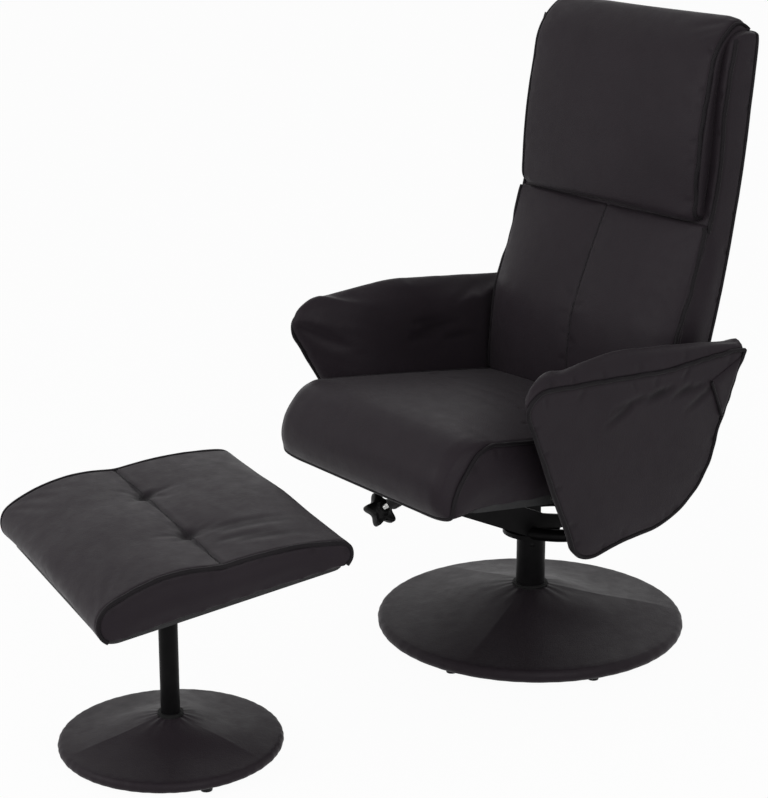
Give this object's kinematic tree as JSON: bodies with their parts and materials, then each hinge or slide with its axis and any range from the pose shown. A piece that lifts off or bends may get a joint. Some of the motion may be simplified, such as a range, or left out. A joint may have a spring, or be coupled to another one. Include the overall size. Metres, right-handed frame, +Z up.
{
  "type": "recliner with footstool",
  "caption": "High-back swivel recliner in black leather with padded arms, head pillow, lock knob and wrapped round base, with a matching footstool standing in front on its own base.",
  "frame": {"origin": "on the floor at the centre of the set's box, between the chair and the footstool", "axes": "+Z up, -Y the way the sitter faces, +X to the sitter's left"},
  "size_m": [0.6534, 1.2639, 1.0798],
  "materials": {
    "black_leather": "fine-grained satin leather",
    "plywood": "raw plywood, hidden",
    "black_steel": "black satin powder coat",
    "zinc_steel": "zinc-plated",
    "black_plastic": "moulded matt",
    "black_rubber": "soft rubber"
  },
  "bodies": {
    "chair_base": {"base_board": "plywood", "base_rim": "black_leather", "base_cover": "black_leather", "base_flange": "black_steel", "base_ribs": "black_steel", "base_glides": "black_plastic", "base_bolts": "zinc_steel", "base_collar": "black_rubber", "column_tube": "black_steel", "lower_bush": "black_plastic", "upper_bush": "black_plastic"},
    "swivel_carrier": {"swivel_spindle": "zinc_steel", "spindle_clip": "zinc_steel", "carrier_hub": "black_steel", "carrier_channel": "black_steel", "carrier_loop": "black_steel", "stop_pads": "black_rubber", "pivot_bushes": "black_plastic", "lock_bracket": "black_steel"},
    "lock_knob": {"lock_screw": "zinc_steel", "star_knob": "black_plastic"},
    "seat_and_back": {"recline_pin": "zinc_steel", "pin_collar": "zinc_steel", "brake_cone": "black_steel", "tilt_bracket": "black_steel", "bracket_screws": "zinc_steel", "seat_board": "plywood", "seat_cushion": "black_leather", "back_angles": "black_steel", "angle_bolts": "zinc_steel", "back_core": "plywood", "back_shell": "black_leather", "back_pad": "black_leather", "head_pillow": "black_leather", "arm_pad_left": "black_leather", "arm_board_left": "plywood", "arm_pad_right": "black_leather", "arm_board_right": "plywood", "arm_bolts": "zinc_steel", "arm_spacers": "zinc_steel"},
    "footstool": {"stool_base_board": "plywood", "stool_base_rim": "black_leather", "stool_base_cover": "black_leather", "stool_base_flange": "black_steel", "stool_base_ribs": "black_steel", "stool_base_glides": "black_plastic", "stool_base_bolts": "zinc_steel", "stool_base_collar": "black_rubber", "stool_column": "black_steel", "stool_plate": "black_steel", "stool_screws": "zinc_steel", "stool_board": "plywood", "stool_cushion": "black_leather"}
  },
  "joints": [
    {"name": "chair_swivel", "type": "hinge", "parent": "chair_base", "child": "swivel_carrier", "pos_m": [0, 0.365, 0.18], "axis": [0, 0, 1], "continuous": true},
    {"name": "recline", "type": "hinge", "parent": "swivel_carrier", "child": "seat_and_back", "pos_m": [0, 0.14903, 0.2975], "axis": [-1, 0, 0], "range_deg": [0, 14]},
    {"name": "lock_knob_turn", "type": "hinge", "parent": "swivel_carrier", "child": "lock_knob", "pos_m": [-0.14916, 0.14903, 0.22539], "axis": [0.8387, 0, 0.5446], "continuous": true},
    {"name": "footstool_slide", "type": "slide", "parent": "chair_base", "child": "footstool", "axis": [0, 1, 0], "range_m": [-0.25, 0.03]}
  ]
}
